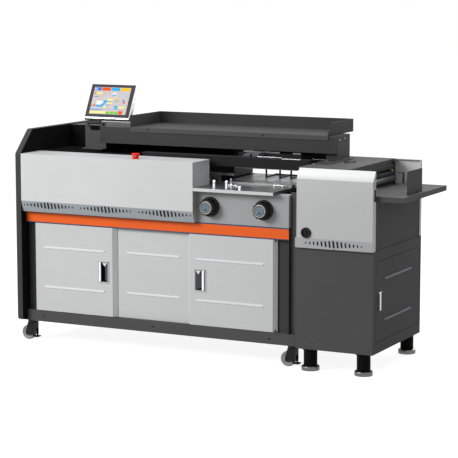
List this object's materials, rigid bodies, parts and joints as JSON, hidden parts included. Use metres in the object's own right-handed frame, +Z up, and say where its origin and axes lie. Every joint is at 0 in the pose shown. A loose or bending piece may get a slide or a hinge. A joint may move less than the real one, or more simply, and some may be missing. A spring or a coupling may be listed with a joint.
{
  "type": "perfect binding machine",
  "caption": "Floor-standing perfect binding machine with hood, clamp beam, work table, shelf, touch screen, cover feeder, castors and levelling feet.",
  "frame": {"origin": "on the floor, under the middle of the machine's overall box", "axes": "+X along the machine towards the cover feeder, +Y from the operator's side to the rear, +Z up"},
  "size_m": [2.1135, 0.745, 1.3056],
  "materials": {
    "dark_paint": "satin",
    "black_paint": "matt",
    "black_plastic": "matt",
    "grey_paint": "satin",
    "white_paint": "satin",
    "orange_paint": "satin",
    "blue_paint": "painted",
    "steel": "brushed",
    "chrome": "polished",
    "yellow_plastic": "gloss",
    "red_plastic": "gloss",
    "black_steel": "satin",
    "grey_rubber": "matt"
  },
  "bodies": {
    "machine": {"base_frame": "dark_paint", "left_panel": "dark_paint", "cabinet_frame": "dark_paint", "cabinet_shell": "dark_paint", "top_beam": "dark_paint", "shelf": "dark_paint", "rear_housing": "dark_paint", "screen_bracket": "dark_paint", "nip_frame": "dark_paint", "guide_rail": "dark_paint", "milling_unit": "dark_paint", "link_column": "dark_paint", "feeder_cabinet": "dark_paint", "feeder_upper": "dark_paint", "feeder_top": "dark_paint", "cover_tray": "dark_paint", "inner_frame": "black_paint", "guide_fingers": "black_paint", "signal_buzzer": "black_plastic", "middle_panel": "grey_paint", "dial_panel": "grey_paint", "hood": "grey_paint", "feeder_rear": "grey_paint", "feeder_front": "white_paint", "orange_strip": "orange_paint", "drive_motor": "blue_paint", "work_table": "steel", "glue_tank": "steel", "table_posts": "chrome", "estop_collar": "yellow_plastic", "levelling_feet": "grey_rubber"},
    "estop": {"estop_button": "red_plastic"},
    "knob_l": {"knob_left": "black_plastic"},
    "knob_r": {"knob_right": "black_plastic"},
    "door_left": {"left_door": "grey_paint", "left_handle": "chrome"},
    "door_right": {"right_door": "grey_paint", "right_handle": "chrome"},
    "castor_fl": {"fork_front_left": "black_steel"},
    "castor_fr": {"fork_front_right": "black_steel"},
    "castor_rl": {"fork_rear_left": "black_steel"},
    "castor_rr": {"fork_rear_right": "black_steel"},
    "tyre_fl": {"wheel_front_left": "grey_rubber"},
    "tyre_fr": {"wheel_front_right": "grey_rubber"},
    "tyre_rl": {"wheel_rear_left": "grey_rubber"},
    "tyre_rr": {"wheel_rear_right": "grey_rubber"},
    "screen": {"touch_screen": "black_plastic"},
    "bed": {"nip_bed": "steel"},
    "jaw_front": {"nip_jaw_front": "steel"},
    "jaw_rear": {"nip_jaw_rear": "steel"},
    "carriage": {"clamp_carriage": "steel"},
    "clamp": {"clamp_jaw": "steel"},
    "cutter": {"milling_cutter": "chrome"},
    "glue_left": {"glue_roller_left": "steel"},
    "glue_right": {"glue_roller_right": "steel"},
    "door_feeder": {"feeder_door": "dark_paint"},
    "feed_low": {"feed_roller_low": "grey_rubber"},
    "feed_high": {"feed_roller_high": "grey_rubber"},
    "stop": {"tray_stop": "dark_paint"}
  },
  "joints": [
    {"name": "estop_push", "type": "slide", "parent": "machine", "child": "estop", "axis": [0, 0, -1], "range_m": [0, 0.005]},
    {"name": "knob_left_turn", "type": "hinge", "parent": "machine", "child": "knob_l", "pos_m": [0.05375, -0.3145, 0.7565], "axis": [0, -1, 0], "continuous": true},
    {"name": "knob_right_turn", "type": "hinge", "parent": "machine", "child": "knob_r", "pos_m": [0.34175, -0.3145, 0.7565], "axis": [0, -1, 0], "continuous": true},
    {"name": "left_door_hinge", "type": "hinge", "parent": "machine", "child": "door_left", "pos_m": [-0.94325, -0.3055, 0.39], "axis": [0, 0, -1], "range_deg": [0, 110]},
    {"name": "right_door_hinge", "type": "hinge", "parent": "machine", "child": "door_right", "pos_m": [0.39775, -0.3055, 0.39], "axis": [0, 0, 1], "range_deg": [0, 110]},
    {"name": "castor_fl_swivel", "type": "hinge", "parent": "machine", "child": "castor_fl", "pos_m": [-0.99525, -0.2805, 0.098], "axis": [0, 0, 1], "continuous": true},
    {"name": "castor_fl_roll", "type": "hinge", "parent": "castor_fl", "child": "tyre_fl", "pos_m": [-1.01925, -0.2805, 0.0375], "axis": [0, 1, 0], "continuous": true},
    {"name": "castor_fr_swivel", "type": "hinge", "parent": "machine", "child": "castor_fr", "pos_m": [0.48175, -0.2805, 0.098], "axis": [0, 0, 1], "continuous": true},
    {"name": "castor_fr_roll", "type": "hinge", "parent": "castor_fr", "child": "tyre_fr", "pos_m": [0.45775, -0.2805, 0.0375], "axis": [0, 1, 0], "continuous": true},
    {"name": "castor_rl_swivel", "type": "hinge", "parent": "machine", "child": "castor_rl", "pos_m": [-0.99525, 0.2795, 0.098], "axis": [0, 0, 1], "continuous": true},
    {"name": "castor_rl_roll", "type": "hinge", "parent": "castor_rl", "child": "tyre_rl", "pos_m": [-1.01925, 0.2795, 0.0375], "axis": [0, 1, 0], "continuous": true},
    {"name": "castor_rr_swivel", "type": "hinge", "parent": "machine", "child": "castor_rr", "pos_m": [0.48175, 0.2795, 0.098], "axis": [0, 0, 1], "continuous": true},
    {"name": "castor_rr_roll", "type": "hinge", "parent": "castor_rr", "child": "tyre_rr", "pos_m": [0.45775, 0.2795, 0.0375], "axis": [0, 1, 0], "continuous": true},
    {"name": "screen_tilt", "type": "hinge", "parent": "machine", "child": "screen", "pos_m": [-0.79725, 0.0305, 1.103], "axis": [1, 0, 0], "range_deg": [-20, 20]},
    {"name": "bed_lift", "type": "slide", "parent": "machine", "child": "bed", "axis": [0, 0, 1], "range_m": [-0.012, 0]},
    {"name": "nip_front_slide", "type": "slide", "parent": "machine", "child": "jaw_front", "axis": [0, 1, 0], "range_m": [0, 0.02]},
    {"name": "nip_rear_slide", "type": "slide", "parent": "machine", "child": "jaw_rear", "axis": [0, 1, 0], "range_m": [-0.02, 0]},
    {"name": "carriage_travel", "type": "slide", "parent": "machine", "child": "carriage", "axis": [-1, 0, 0], "range_m": [0, 0.76]},
    {"name": "clamp_close", "type": "slide", "parent": "carriage", "child": "clamp", "axis": [0, 1, 0], "range_m": [0, 0.035]},
    {"name": "cutter_spin", "type": "hinge", "parent": "machine", "child": "cutter", "pos_m": [-0.16975, -0.071, 0.76], "axis": [0, 0, 1], "continuous": true},
    {"name": "glue_left_spin", "type": "hinge", "parent": "machine", "child": "glue_left", "pos_m": [-0.60275, -0.071, 0.817], "axis": [0, 1, 0], "continuous": true},
    {"name": "glue_right_spin", "type": "hinge", "parent": "machine", "child": "glue_right", "pos_m": [-0.44275, -0.071, 0.817], "axis": [0, 1, 0], "continuous": true},
    {"name": "feeder_door_hinge", "type": "hinge", "parent": "machine", "child": "door_feeder", "pos_m": [0.90975, 0.2675, 0.35], "axis": [0, 0, 1], "range_deg": [0, 110]},
    {"name": "feed_low_spin", "type": "hinge", "parent": "machine", "child": "feed_low", "pos_m": [0.78275, -0.0215, 0.834], "axis": [0, 1, 0], "continuous": true},
    {"name": "feed_high_spin", "type": "hinge", "parent": "machine", "child": "feed_high", "pos_m": [0.78275, -0.0215, 0.8785], "axis": [0, 1, 0], "continuous": true},
    {"name": "tray_stop_slide", "type": "slide", "parent": "machine", "child": "stop", "axis": [1, 0, 0], "range_m": [-0.048, 0.019]}
  ],
  "couplings": [
    {"joint": "nip_rear_slide", "follows": "nip_front_slide", "ratio": -1},
    {"joint": "glue_right_spin", "follows": "glue_left_spin", "ratio": 1},
    {"joint": "feed_high_spin", "follows": "feed_low_spin", "ratio": -1}
  ]
}
